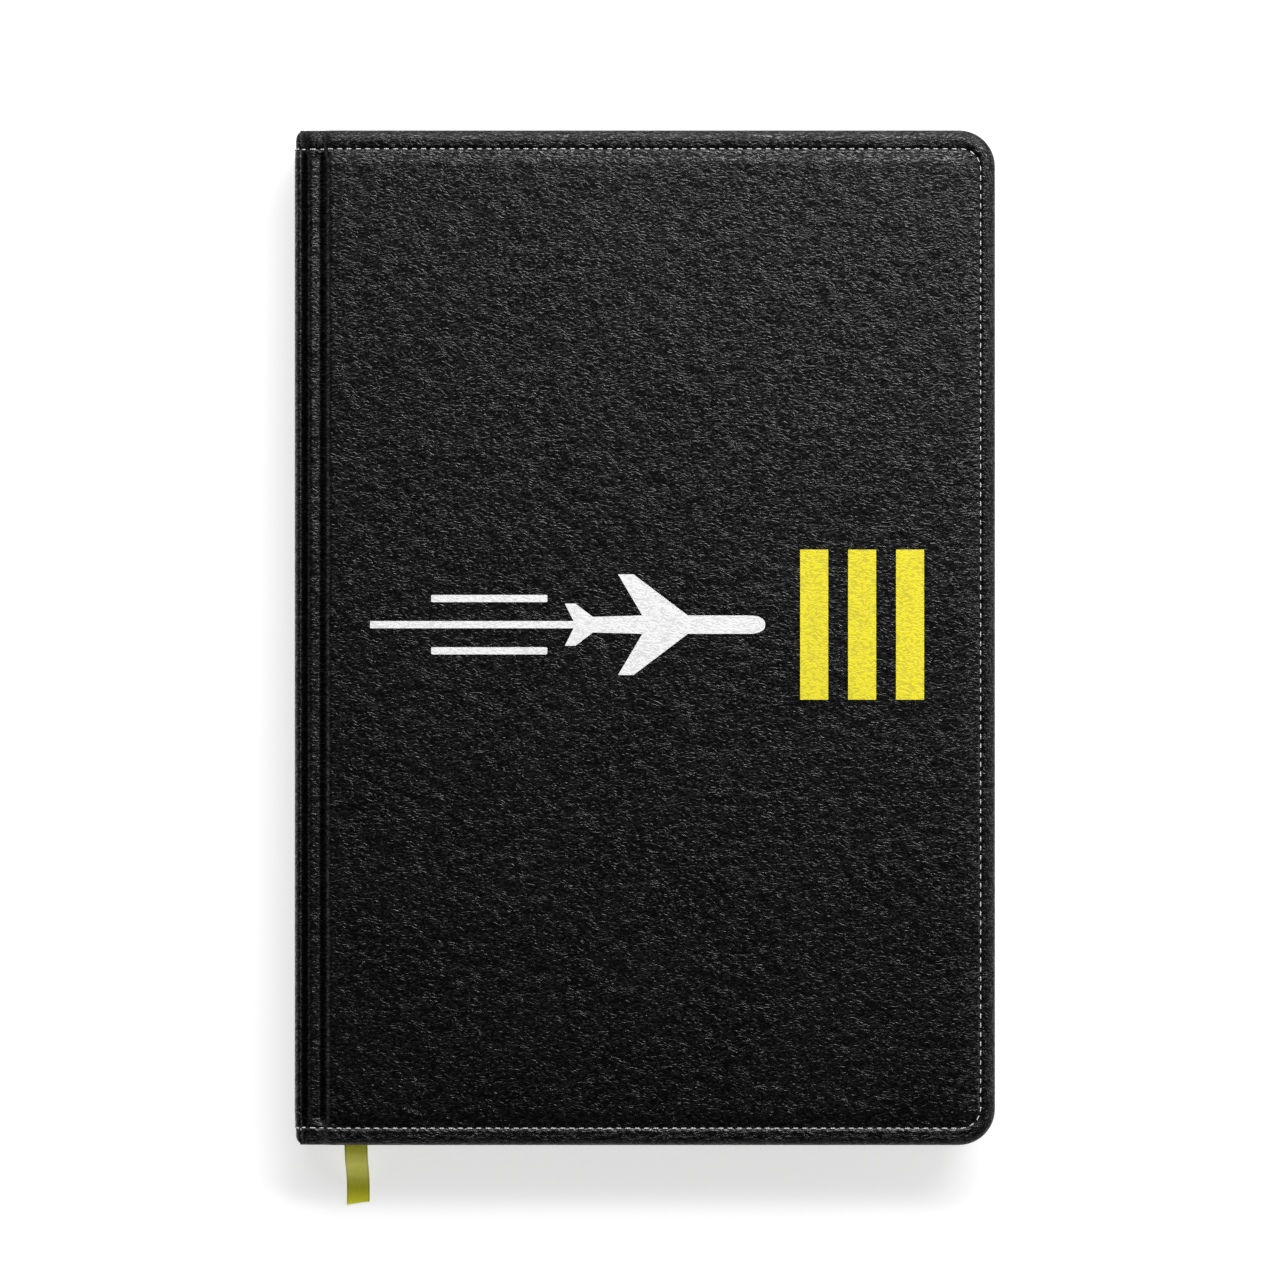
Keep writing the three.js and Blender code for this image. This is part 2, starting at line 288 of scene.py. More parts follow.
def makeRibbon():
    centreLine = [p for p in splineThrough(ribbonRoute, 10) if p[0] > ribbon["tailEnd"] - 0.01]
    bm = bmesh.new()
    uvLayer = bm.loops.layers.uv.new("ribbon")
    uvOf = {}
    columns = ribbon["across"]
    travelled, previousPoint, rings = 0.0, None, []
    for index, point in enumerate(centreLine):
        if previousPoint is not None:
            travelled += math.dist(previousPoint, point)
        previousPoint = point
        after = centreLine[min(index + 1, len(centreLine) - 1)]
        before = centreLine[max(index - 1, 0)]
        run = (after - before) / np.linalg.norm(after - before)
        lift = np.array([-run[1], run[0]]) * (1 if run[0] > 0 else -1)
        atEnd = index == len(centreLine) - 1
        ring = []
        for side in (1, -1):
            spread = range(columns + 1) if side > 0 else range(columns, -1, -1)
            for k in spread:
                u = k / columns * 2 - 1
                shift = (ribbon["slant"] * 0.5 * u) if atEnd else 0.0
                edge = 1.0 if abs(u) < 0.99 else 0.55
                rise = ribbon["cup"] * u * u + side * ribbon["thickness"] / 2 * edge
                y = point[0] + lift[0] * rise + shift
                z = point[1] + lift[1] * rise
                vert = bm.verts.new(((ribbon["centre"] + u * ribbon["width"] / 2) * mm, y * mm, z * mm))
                uvOf[vert] = (u * ribbon["width"] / 2 * mm, travelled * mm)
                ring.append(vert)
        rings.append(ring)
    for a, b in zip(rings, rings[1:]):
        for k in range(len(a)):
            n = (k + 1) % len(a)
            bm.faces.new((a[k], b[k], b[n], a[n]))
    bm.faces.new(rings[0])
    bm.faces.new(rings[-1])
    for face in bm.faces:
        for loop in face.loops:
            loop[uvLayer].uv = uvOf[loop.vert]
    thing = newObject("ribbonMarker", bm)
    paint(thing, satinLook)
    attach(thing, "leaves_3")
    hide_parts("ribbon_marker")


makeRibbon()

grain = {
    "tilt": -14,          # degrees the creases fall to the right
    "creaseLength": 1.55,  # millimetres
    "creaseGap": 0.64,
    "wander": 2.5,        # how far a crease strays from straight
    "wanderScale": 0.32,
    "foldWidth": 0.13,
    "pebbleScale": 1.5,
    "pebbleSoftness": 0.35,
    "poreScale": 7.0,
    "poreHeight": 0.03,
}


def makeGrainGroup():
    tree, start, end = newGroup(
        "leatherGrain",
        [("Vector", "NodeSocketVector")],
        [("Height", "NodeSocketFloat"), ("Valley", "NodeSocketFloat"), ("Patch", "NodeSocketFloat")],
    )
    inMm = vectorMaths(tree, "SCALE", start.outputs[0], scale=1000.0)
    drift = node(tree, "ShaderNodeTexNoise")
    link(tree, inMm, drift.inputs["Vector"])
    drift.inputs["Scale"].default_value = grain["wanderScale"]
    drift.inputs["Detail"].default_value = 2.0
    shifted = vectorMaths(tree, "SUBTRACT", drift.outputs["Color"], (0.5, 0.5, 0.5))
    warped = vectorMaths(tree, "ADD", inMm, vectorMaths(tree, "SCALE", shifted, scale=grain["wander"]))
    turn = node(tree, "ShaderNodeMapping")
    turn.inputs["Rotation"].default_value = (0, 0, math.radians(-grain["tilt"]))
    turn.inputs["Scale"].default_value = (1 / grain["creaseLength"], 1 / grain["creaseGap"], 1)
    link(tree, warped, turn.inputs["Vector"])
    stretched = turn.outputs[0]
    creases = noise(tree, stretched, 1.0, 1.6, 0.55)
    folds = maths(tree, "ABSOLUTE", maths(tree, "SUBTRACT", creases, 0.5))
    ridges = remap(tree, folds, 0.0, grain["foldWidth"], 0.0, 1.0)
    cells = node(tree, "ShaderNodeTexVoronoi", feature="SMOOTH_F1")
    link(tree, stretched, cells.inputs["Vector"])
    cells.inputs["Scale"].default_value = grain["pebbleScale"]
    cells.inputs["Smoothness"].default_value = grain["pebbleSoftness"]
    pebble = maths(tree, "SUBTRACT", 1.0, cells.outputs["Distance"])
    pores = noise(tree, inMm, grain["poreScale"], 2.0, 0.6)
    height = maths(tree, "MULTIPLY_ADD", ridges, 0.55, maths(tree, "MULTIPLY", pebble, 0.75))
    height = maths(tree, "MULTIPLY_ADD", pores, grain["poreHeight"], height)
    link(tree, height, end.inputs["Height"])
    link(tree, remap(tree, height, 0.55, 0.95, 1.0, 0.0), end.inputs["Valley"])
    link(tree, noise(tree, inMm, 0.05, 3.0), end.inputs["Patch"])
    return tree


grainGroup = makeGrainGroup()

leatherLook = {
    "ridge": (0.0018, 0.0018, 0.0019),
    # painted shade: the base colour is darker in the grain's valleys and creases
    "valleyShade": (0.0004, 0.0004, 0.0005),
    "roughLow": 0.29,
    "roughHigh": 0.34,
    "shine": 0.12,           # of the bare leather
    "finish": 0.68,          # coat weight on the ridges, thinning to none in the creases as painted shade
    "finishRough": 0.32,
    "depth": 0.00007,
}


def leatherMaterial(name, coordinates):
    material, tree, surface, where = startMaterial(name, coordinates)
    pattern = useGroup(tree, grainGroup, where)
    # Painted shade: the colour darkens from the ridges into the valleys of the grain.
    colour = blendColour(tree, pattern.outputs["Valley"], leatherLook["ridge"], leatherLook["valleyShade"])
    link(tree, colour, surface.inputs["Base Color"])
    rough = remap(tree, pattern.outputs["Patch"], 0.3, 0.7, leatherLook["roughLow"], leatherLook["roughHigh"])
    rough = maths(tree, "MULTIPLY_ADD", pattern.outputs["Valley"], 0.06, rough)
    link(tree, rough, surface.inputs["Roughness"])
    surface.inputs["Specular IOR Level"].default_value = leatherLook["shine"]
    surface.inputs["Coat Roughness"].default_value = leatherLook["finishRough"]
    # Painted shade: the coat thins out into the creases, so they reflect less and look darker.
    finish = remap(tree, pattern.outputs["Valley"], 0.15, 0.95, leatherLook["finish"], 0.0)
    link(tree, finish, surface.inputs["Coat Weight"])
    relief = addBump(tree, surface, pattern.outputs["Height"], leatherLook["depth"])
    link(tree, relief, surface.inputs["Coat Normal"])
    return material


leatherUv = leatherMaterial("grainedLeather", "UV")
print("leather ready")

skin = {
    "joinAt": 4.35,        # where the spine leather meets the cover leather, on the ridge
    "outerRadius": 7.5,
    "seam": 3.3,           # distance of the stitches from the edge
    "seamDepth": 0.28,
    "seamWidth": 0.27,
    "padRise": 0.34,
    "roll": 2.3,
    "rollDrop": 1.6,
    "spineRoll": 1.2,
    "underRoll": 0.8,
    "crest": (1.2, 0.95),    # millimetres from the spine's outside, and below the cover's face
    "crease": (2.1, 2.3),
    "ridge": (3.8, 1.12),
    "ridgeEnd": (4.75, 1.27),
    "groove": (5.85, 2.1),
    "panelStart": 7.9,
    "stitchPitch": 1.92,
    "pucker": 0.07,
    "cornerRound": 1.4,
    "pinch": 0.12,
    "pinchFrom": 2.6,
    "pinchFade": 1.4,
    "roundFrom": 1.4,        # the rounded end of the spine straightens out from here inwards
    "roundFade": 1.6,
    "innerEdge": 1.9,        # the spine leather's inner face, at the cover and where it turns down
    "innerTurn": 1.75,
    "innerDrop": 0.6,
    "spineThick": 0.8,
    "sideStart": 2.1,        # the spine's side starts this far below the crest, and bulges a little
    "sideBulge": 0.10,
    "spineSeamShare": 0.35,  # the seam sinks less where it passes over the spine
    "headShift": 0.7,        # how much further in the seam lies at the head, foot and fore-edge
    "footShift": 0.32,
    "foreShift": -0.2,
    "shiftIn": 0.8,          # over how much of the face that shift comes in, and goes out again
    "shiftEnd": 4.6,
    "shiftOut": 2.9,
    "levelReach": 6.5,       # how far in the cover's face takes to rise from the crest to level
    "edgeGroove": 0.42,      # share of the joint's depth that is left outside the seam
    "grooveFade": 2.6,
    "puckerWidth": 0.75,
    "padFrom": 0.6,          # the pad starts to rise this far outside the seam
    "padReach": 4.6,
    "jointEnd": 12,          # past this the cover has no groove
    "cornerSteps": 12,
}
pastJoint = 20            # any place on the level part of the cover
seamPhase = 1.2           # first stitch, from the spine's outside


def grooveDrop(x):
    outside = (-9, skin["crest"][1])
    knots = [outside] + [skin[name] for name in ("crest", "crease", "ridge", "ridgeEnd", "groove")]
    for (x0, z0), (x1, z1) in zip(knots, knots[1:]):
        if x <= x1:
            t = (x - x0) / (x1 - x0)
            if x1 in (skin["crease"][0], skin["groove"][0]):   # level at first, then steep into the fold
                return z0 + (z1 - z0) * t * t
            if x1 == skin["ridge"][0]:   # steep out of the crease, then level on the ridge
                return z0 + (z1 - z0) * (1 - (1 - t) ** 2)
            return z0 + (z1 - z0) * t
    t = min(1.0, (x - skin["groove"][0]) / (skin["panelStart"] - skin["groove"][0]))
    return skin["groove"][1] * (1 - t) ** 2


def levelDrop(x):
    return skin["crest"][1] * fade(x, skin["crest"][0], skin["levelReach"])


def grooveShare(d):
    least = skin["edgeGroove"]
    return least + (1 - least) * smooth((d - skin["seam"]) / skin["grooveFade"])


def seamDrop(d, along):
    dip = skin["seamDepth"] * math.exp(-(((d - skin["seam"]) / skin["seamWidth"]) ** 2))
    wave = math.cos(2 * math.pi * (along - seamPhase) / skin["stitchPitch"])
    near = math.exp(-(((d - skin["seam"]) / skin["puckerWidth"]) ** 2))
    crown = skin["padRise"] * fade(d, skin["seam"] - skin["padFrom"], skin["padReach"])
    return dip + crown + skin["pucker"] * near * wave


def seamShift(nx, ny):
    return skin["headShift" if ny > 0 else "footShift"] * ny * ny + skin["foreShift"] * nx * nx


def moved(d, nx, ny):
    # Where a row lies once the seam is moved in or out; the edge and the panel stay put.
    start = smooth((d - skin["roll"]) / skin["shiftIn"])
    end = smooth((d - skin["shiftEnd"]) / skin["shiftOut"])
    return d + seamShift(nx, ny) * start * (1 - end)


def topDrop(x, d, along):
    groove = levelDrop(x) + (grooveDrop(x) - levelDrop(x)) * grooveShare(d)
    return groove + seamDrop(d, along)


# Rows across the edge: on the face, round the roll, down the side and under.
faceRows = [7.5, 6.6, 5.8, 5.1, 4.6, 4.2, 3.9, 3.7, 3.5, 3.3, 3.1, 2.9, 2.7, 2.5, 2.4]
rollSteps = 9
underSteps = 4
underRows = [2.0, 7.5]


def edgeRows():
    rows = [("face", d, 0.0) for d in faceRows]
    rows += [("roll", None, math.pi / 2 * k / rollSteps) for k in range(rollSteps + 1)]
    rows += [("under", None, math.pi / 2 * k / underSteps) for k in range(underSteps + 1)]
    rows += [("inner", d, 0.0) for d in underRows]
    return rows


def rowPlace(row, dropAtRoll, thickness, roll, share=0.55):
    # How far in from the edge a row lies, how far down, and how far out its map goes.
    kind, d, angle = row
    fall, under = skin["rollDrop"], skin["underRoll"]
    fall = min(fall, share * (thickness - dropAtRoll))
    under = min(under, 0.4 * (thickness - dropAtRoll))
    if kind == "roll":
        return roll * (1 - math.sin(angle)), dropAtRoll + fall * (1 - math.cos(angle)), roll * angle
    overRoll = roll * math.pi / 2
    if kind == "under":
        drop = thickness - under * (1 - math.sin(angle))
        return under * (1 - math.cos(angle)), drop, overRoll + 1 + under * angle
    if kind == "inner":
        return d, thickness, overRoll + 2 + d
    return d, None, 0.0


coverBottom = book["inner"] + 0.10   # leather's inner face, behind the endpaper


def coverPath():
    # Round the cover from the joint along the foot, the fore-edge and the head, back to the joint.
    step = skin["stitchPitch"] / 4
    radius = skin["outerRadius"]
    x0, x1 = skin["joinAt"], book["right"] - book["left"] - radius
    joint = list(np.arange(x0, skin["jointEnd"] + 0.01, 0.3))
    straight = list(np.linspace(joint[-1], x1, int((x1 - joint[-1]) / step) + 1))
    xs = joint + straight[1:]
    y0 = book["foot"] + radius
    ys = list(np.linspace(y0, -y0, int(-2 * y0 / step) + 1))
    path = []
    for x in xs:
        path.append((x, book["foot"], 0, -1))
    turns = [math.pi / 2 * k / skin["cornerSteps"] for k in range(1, skin["cornerSteps"])]
    for a in turns:
        path.append((x1 + radius * math.sin(a), y0 - radius * math.cos(a), math.sin(a), -math.cos(a)))
    for y in ys:
        path.append((x1 + radius, y, 1, 0))
    for a in turns:
        path.append((x1 + radius * math.cos(a), -y0 + radius * math.sin(a), math.cos(a), math.sin(a)))
    for x in reversed(xs):
        path.append((x, -book["foot"], 0, 1))
    return path, len(joint)


def makeCoverLeather(name, front):
    path, jointCount = coverPath()
    rows = edgeRows()
    bm = bmesh.new()
    uvLayer = bm.loops.layers.uv.new("leather")
    uvOf = {}
    thickness = book["top"] - coverBottom
    grid = []
    previous = None
    for px, py, nx, ny in path:
        onSeam = (px - nx * skin["seam"], py - ny * skin["seam"])
        along = px if previous is None else along + math.dist(previous, onSeam)
        previous = onSeam
        column = []
        dropAtRoll = topDrop(px, skin["roll"], along)
        for row in rows:
            d, drop, extra = rowPlace(row, dropAtRoll, thickness, skin["roll"])
            inset = moved(d, nx, ny) if drop is None else d
            x, y = px - nx * inset, py - ny * inset
            if drop is None:
                drop = topDrop(x if nx == 0 else max(x, pastJoint), d, along)
            z = book["top"] - drop
            vert = bm.verts.new(((x + book["left"]) * mm, y * mm, (z if front else book["top"] - z) * mm))
            uvOf[vert] = ((x + nx * extra) * mm, (y + ny * extra) * mm)
            column.append(vert)
        grid.append(column)
    for a, b in zip(grid, grid[1:]):
        for k in range(len(rows) - 1):
            bm.faces.new((a[k], b[k], b[k + 1], a[k + 1]))
    last = len(grid) - 1
    for row in (0, len(rows) - 1):
        for k in range(jointCount - 1):   # long strips along the joint
            bm.faces.new((grid[k][row], grid[k + 1][row], grid[last - k - 1][row], grid[last - k][row]))
        ring = [grid[k][row] for k in range(jointCount - 1, last - jointCount + 2)]
        bm.faces.new(ring)
    cap = grid[0] + list(reversed(grid[last]))
    bm.faces.new(cap)
    for face in bm.faces:
        for loop in face.loops:
            u, v = uvOf[loop.vert]
            loop[uvLayer].uv = (u + (0 if front else 0.4), v)
    bmesh.ops.remove_doubles(bm, verts=bm.verts, dist=1e-7)
    return newObject(name, bm)


def sideDrop(d, along):
    return skin["spineSeamShare"] * seamDrop(d, along)


def spineOutline():
    # Outer and inner points of the spine leather, from the ridge round to half the book's height.
    pairs = []
    top, inner = book["top"], coverBottom
    crestX, crestDrop = skin["crest"]
    for x in np.arange(skin["joinAt"], crestX - 0.001, -0.15):
        pairs.append((x, None, max(x, skin["innerEdge"]), inner))
    sideStart, innerDrop = skin["sideStart"], skin["innerDrop"]
    narrowing = skin["innerTurn"] - skin["spineThick"]
    for k in range(0, 10):
        a = math.pi / 2 * k / 9
        x = crestX * (1 - math.sin(a))
        z = top - crestDrop - sideStart * (1 - math.cos(a))
        turned = smooth(k / 9)
        pairs.append((x, z, skin["innerTurn"] - narrowing * turned, inner - innerDrop * turned))
    low = top - crestDrop - sideStart
    for k in range(1, 9):
        t = k / 8
        pairs.append((-skin["sideBulge"] * math.sin(math.pi / 2 * t), low + (middle - low) * t,
                      skin["spineThick"], inner - innerDrop + (middle - inner + innerDrop) * t))
    return pairs


def sideShare(x):
    # How far round the spine's roll a point is, from 0 on the face to 1 on the side.
    return min(1.0, (skin["crest"][0] - x) / skin["crest"][0])


def inward(share):
    return Vector((0, -1)).lerp(Vector((1, 0)), share ** 0.8).normalized()


def makeSpineLeather(name, front):
    pairs = spineOutline()
    rows = edgeRows()
    bm = bmesh.new()
    uvLayer = bm.loops.layers.uv.new("leather")
    uvOf = {}
    grid = []
    travelled = 0.0
    previous = None
    for x, z, innerX, innerZ in pairs:
        onFace = z is None
        outerZ = book["top"] - topDrop(x, 99, 0) if onFace else z
        if previous is not None:
            travelled += math.dist(previous, (x, outerZ))
        previous = (x, outerZ)
        share = 0.0 if onFace else sideShare(x)
        direction = inward(share)
        thickness = (book["top"] - innerZ) if onFace else Vector((innerX - x, innerZ - outerZ)).length
        flatX = max(0.0, x)
        radius = skin["cornerRound"]
        roll = skin["roll"] + (skin["spineRoll"] - skin["roll"]) * share
        inset = radius - math.sqrt(max(0.0, radius ** 2 - (radius - flatX) ** 2)) if flatX < radius else 0.0
        column = []
        for side in (-1, 1):
            ordered = rows if side < 0 else list(reversed(rows))
            for row in ordered:
                along = skin["joinAt"] - travelled
                base = topDrop(x, skin["roll"], along) if onFace else sideDrop(skin["roll"], along)
                d, drop, extra = rowPlace(row, base, thickness, roll, 0.55 - 0.35 * share)
                pinch = 0 if onFace else skin["pinch"] * fade(d, skin["pinchFrom"], skin["pinchFade"])
                if drop is None:
                    drop = topDrop(x, d, along) if onFace else sideDrop(d, along)
                    d = moved(d, 0, side)
                pull = inset * fade(d, skin["roundFrom"], skin["roundFade"])
                if row[0] == "inner":
                    pull = skin["innerDrop"]
                y = side * (book["head"] - d - pull)
                if onFace:
                    px, pz = x, book["top"] - drop
                else:
                    drop = min(drop + pinch, thickness)
                    px, pz = x + direction[0] * drop, outerZ + direction[1] * drop
                if row[0] == "inner" or (row[0] == "under" and row[2] > 1.5):
                    px, pz = innerX, innerZ
                pz = pz if front else book["top"] - pz
                vert = bm.verts.new(((px + book["left"]) * mm, y * mm, pz * mm))
                uvOf[vert] = ((skin["joinAt"] - travelled) * mm, (y + side * extra) * mm)
                column.append(vert)
        grid.append(column)
    count = len(grid[0])
    for a, b in zip(grid, grid[1:]):
        for k in range(count):
            n = (k + 1) % count
            bm.faces.new((a[k], b[k], b[n], a[n]))
    bm.faces.new(grid[0])
    bm.faces.new(grid[-1])
    for face in bm.faces:
        for loop in face.loops:
            u, v = uvOf[loop.vert]
            loop[uvLayer].uv = (u + (0 if front else 0.4), v)
    return newObject(name, bm)


frontLeather = makeCoverLeather("frontCoverLeather", True)
backLeather = makeCoverLeather("backCoverLeather", False)
spineTopLeather = makeSpineLeather("spineLeatherUpper", True)
spineLowLeather = makeSpineLeather("spineLeatherLower", False)
for piece in (frontLeather, backLeather, spineTopLeather, spineLowLeather):
    paint(piece, leatherUv)


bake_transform(frontLeather)
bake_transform(spineTopLeather)
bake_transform(spineLowLeather)
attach(backLeather, "back_cover")
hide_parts("front_skin")
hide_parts("back_skin", "back_joint_strip")
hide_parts("front_joint_strip", "spine_skin")
print("leather laid")


def fibreMaterial(name, low, high, rough, scale, depth, stretch=(1, 1, 1)):
    material, tree, surface, where = startMaterial(name)
    stretched = vectorMaths(tree, "MULTIPLY", where, stretch)
    fibres = noise(tree, stretched, scale, 4.0, 0.6)
    link(tree, blendColour(tree, fibres, low, high), surface.inputs["Base Color"])
    link(tree, remap(tree, fibres, 0.3, 0.7, rough - 0.08, rough + 0.08), surface.inputs["Roughness"])
    addBump(tree, surface, fibres, depth)
    return material


def stripe(tree, value, centre, width):
    made = node(tree, "ShaderNodeMath", operation="COMPARE")
    link(tree, value, made.inputs[0])
    made.inputs[1].default_value = centre
    made.inputs[2].default_value = width / 2
    return made.outputs[0]


def inside(tree, value, low, high):
    above, below = maths(tree, "GREATER_THAN", value, low), maths(tree, "LESS_THAN", value, high)
    return maths(tree, "MULTIPLY", above, below)


# Printed film on the cover: the leather's grain shows through, and its deepest creases stay dark.
printLook = {"depth": 0.00005, "rough": 0.46}


def printMaterial(name, low, high, missed):
    material, tree, surface, where = startMaterial(name)
    placed = node(tree, "ShaderNodeMapping")   # the cover leather's map starts at the spine
    placed.inputs["Location"].default_value = (-book["left"] * mm, 0, 0)
    link(tree, where, placed.inputs["Vector"])
    skinGrain = useGroup(tree, grainGroup, placed.outputs[0])
    tone = blendColour(tree, skinGrain.outputs["Patch"], low, high)
    gaps = maths(tree, "MULTIPLY", remap(tree, skinGrain.outputs["Valley"], 0.86, 1.0, 0.0, 1.0), missed)
    link(tree, blendColour(tree, gaps, tone, (0.02, 0.02, 0.02)), surface.inputs["Base Color"])
    rough = maths(tree, "MULTIPLY_ADD", skinGrain.outputs["Valley"], 0.2, printLook["rough"])
    link(tree, rough, surface.inputs["Roughness"])
    addBump(tree, surface, skinGrain.outputs["Height"], printLook["depth"])
    return material


# Pages: ruled rows, a heading band and columns, with nothing written in them.
pageLook = {
    "rowPitch": 0.0068,
    "line": 0.0003,
    "columns": (0.0, 0.021, 0.043, 0.058, 0.073, 0.088, 0.103, 0.1245),
    "spineMargin": 0.0115,
    "headMargin": 0.014,
    "footMargin": 0.012,
    "headingRows": 2,
}


def pageMaterial():
    material, tree, surface, where = startMaterial("ruledPage")
    x, y = separate(tree, where)[:2]
    fromSpine = maths(tree, "SUBTRACT", x, book["leafLeft"] * mm)
    fromHead = maths(tree, "SUBTRACT", book["leafHead"] * mm - pageLook["headMargin"], y)
    column = maths(tree, "SUBTRACT", fromSpine, pageLook["spineMargin"])
    depth = (book["leafHead"] - book["leafFoot"]) * mm - pageLook["headMargin"] - pageLook["footMargin"]
    rows = math.floor(depth / pageLook["rowPitch"])
    width = pageLook["columns"][-1]
    edge = pageLook["line"]
    within = maths(tree, "MULTIPLY", inside(tree, column, -edge, width + edge),
                   inside(tree, fromHead, -edge, rows * pageLook["rowPitch"] + edge))
    folded = maths(tree, "PINGPONG", fromHead, pageLook["rowPitch"] / 2)
    ruled = maths(tree, "LESS_THAN", folded, edge / 2)
    for place in pageLook["columns"]:
        ruled = maths(tree, "MAXIMUM", ruled, stripe(tree, column, place, edge))
    heading = stripe(tree, fromHead, pageLook["headingRows"] * pageLook["rowPitch"], 3 * edge)
    ruled = maths(tree, "MAXIMUM", ruled, heading)
    normal = separate(tree, node(tree, "ShaderNodeNewGeometry").outputs["True Normal"])
    facing = maths(tree, "GREATER_THAN", maths(tree, "ABSOLUTE", normal[2]), 0.6)
    facing = maths(tree, "MULTIPLY", facing, within)
    ruled = maths(tree, "MULTIPLY", ruled, facing)
    headed = inside(tree, fromHead, 0, pageLook["headingRows"] * pageLook["rowPitch"])
    tinted = maths(tree, "MULTIPLY", facing, headed)
    bands = maths(tree, "FLOOR", maths(tree, "DIVIDE", fromHead, pageLook["rowPitch"]))
    bands = maths(tree, "MULTIPLY", maths(tree, "FLOORED_MODULO", bands, 2.0), facing)
    fibres = noise(tree, where, 1400, 4.0, 0.6)
    cloud = noise(tree, where, 60, 3.0)
    mottle = maths(tree, "MULTIPLY", fibres, cloud)
    stock = blendColour(tree, mottle, (0.62, 0.60, 0.525), (0.53, 0.505, 0.43))
    stock = blendColour(tree, maths(tree, "MULTIPLY", bands, 0.3), stock, (0.36, 0.47, 0.46))
    stock = blendColour(tree, maths(tree, "MULTIPLY", tinted, 0.6), stock, (0.26, 0.37, 0.40))
    link(tree, blendColour(tree, maths(tree, "MULTIPLY", ruled, 0.9), stock, (0.06, 0.11, 0.15)),
         surface.inputs["Base Color"])
    link(tree, remap(tree, fibres, 0.3, 0.7, 0.72, 0.88), surface.inputs["Roughness"])
    surface.inputs["Specular IOR Level"].default_value = 0.3
    addBump(tree, surface, fibres, 0.00002)
    return material


def bandMaterial():
    material, tree, surface, where = startMaterial("headBandSilk")
    z = separate(tree, where)[2]
    wraps = maths(tree, "PINGPONG", z, 0.0009)
    dark = maths(tree, "GREATER_THAN", wraps, 0.00045)
    fibres = noise(tree, where, 5000, 2.0)
    yellow = blendColour(tree, fibres, (0.55, 0.50, 0.03), (0.70, 0.64, 0.06))
    link(tree, blendColour(tree, dark, yellow, (0.02, 0.02, 0.022)), surface.inputs["Base Color"])
    link(tree, remap(tree, fibres, 0.3, 0.7, 0.45, 0.6), surface.inputs["Roughness"])
    addBump(tree, surface, fibres, 0.00004)
    return material


def threadMaterial():
    material, tree, surface, where = startMaterial("seamThread")
    x, y, z = separate(tree, where)
    slant = maths(tree, "ADD", maths(tree, "ADD", x, y), z)
    ply = maths(tree, "SINE", maths(tree, "MULTIPLY", slant, 14000.0))
    fibres = noise(tree, where, 9000, 2.0)
    # Painted light and shade: the colour goes lighter and darker along the ply's twist.
    plyShade = remap(tree, ply, -1.0, 1.0, 0.0, 1.0)
    link(tree, blendColour(tree, plyShade, (0.32, 0.32, 0.31), (0.58, 0.58, 0.57)), surface.inputs["Base Color"])
    link(tree, remap(tree, fibres, 0.3, 0.7, 0.5, 0.7), surface.inputs["Roughness"])
    addBump(tree, surface, maths(tree, "MULTIPLY_ADD", fibres, 0.5, ply), 0.00003)
    return material


foamLook = fibreMaterial("foamPad", (0.10, 0.10, 0.11), (0.18, 0.18, 0.19), 0.9, 2500, 0.0001)
boardLook = fibreMaterial("greyBoard", (0.20, 0.18, 0.15), (0.32, 0.29, 0.24), 0.88, 1500, 0.00005)
endpaperLook = fibreMaterial("endpaper", (0.016, 0.019, 0.026), (0.030, 0.035, 0.047), 0.75, 900, 0.00004,
                             stretch=(1, 7, 1))
gauzeLook = fibreMaterial("gauze", (0.55, 0.52, 0.44), (0.75, 0.71, 0.62), 0.9, 1800, 0.00008)
paperLook = pageMaterial()
threadLook = threadMaterial()
bandLook = bandMaterial()
whiteLook = printMaterial("whitePrint", (0.60, 0.60, 0.60), (0.645, 0.645, 0.645), 0.2)
yellowLook = printMaterial("yellowPrint", (0.575, 0.50, 0.002), (0.635, 0.555, 0.004), 0.25)
leatherHere = leatherMaterial("grainedLeatherSolid", "Object")
looks = {"leather": leatherHere, "thread": threadLook, "foam": foamLook, "board": boardLook,
         "endpaper": endpaperLook, "paper": paperLook, "gauze": gauzeLook, "satin": satinLook,
         "white_foil": whiteLook, "yellow_foil": yellowLook}
for entry in frame["record"]["subparts"]:
    cadNode = frame["nodes"][entry["node"]]
    cadNode.data.materials.clear()
    cadNode.data.materials.append(looks[entry["material_slot"]])
print("finishes ready")

stitch = {"length": 1.16, "width": 0.34, "height": 0.26, "lift": 0.05, "sides": 8, "rings": 6, "square": 5.0}


